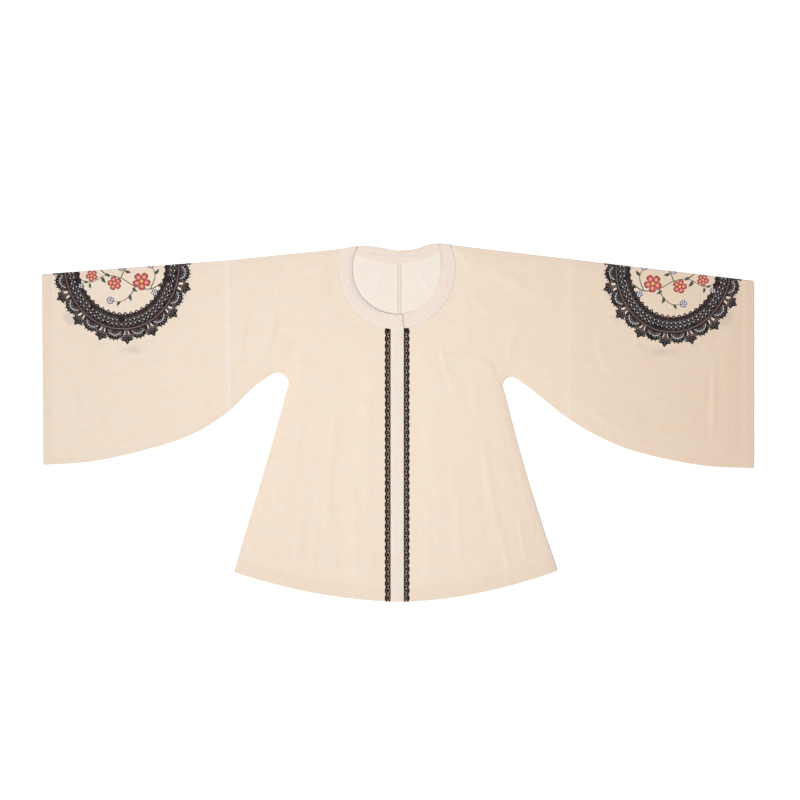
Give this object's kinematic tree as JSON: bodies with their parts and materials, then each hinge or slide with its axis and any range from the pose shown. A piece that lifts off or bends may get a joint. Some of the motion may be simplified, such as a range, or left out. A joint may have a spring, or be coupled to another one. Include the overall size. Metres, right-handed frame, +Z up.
{
  "type": "hanfu blouse",
  "caption": "Flat-laid round-collared hanfu blouse with wide curved sleeves, a centre front placket and scalloped lace trims.",
  "frame": {"origin": "bottom centre of the laid-out garment's box, on the surface that it lies on", "axes": "+X towards the wearer's left sleeve, +Y towards the neck, +Z up out of the front"},
  "size_m": [1.528, 0.7686, 0.0059],
  "materials": {
    "cloth": "thin slubbed cotton and linen plain weave, matte, slightly sheer",
    "band_cloth": "the same cloth, doubled, matte",
    "lace": "black cotton lace tape, matte",
    "print": "matte textile print"
  },
  "bodies": {
    "root": {"body_panel_right": "cloth", "body_panel_left": "cloth", "sleeve_extension_right": "cloth", "sleeve_extension_left": "cloth", "collar_band": "band_cloth", "placket_right": "band_cloth", "placket_left": "band_cloth", "lace_trim_right": "lace", "lace_trim_left": "lace"}
  },
  "joints": []
}
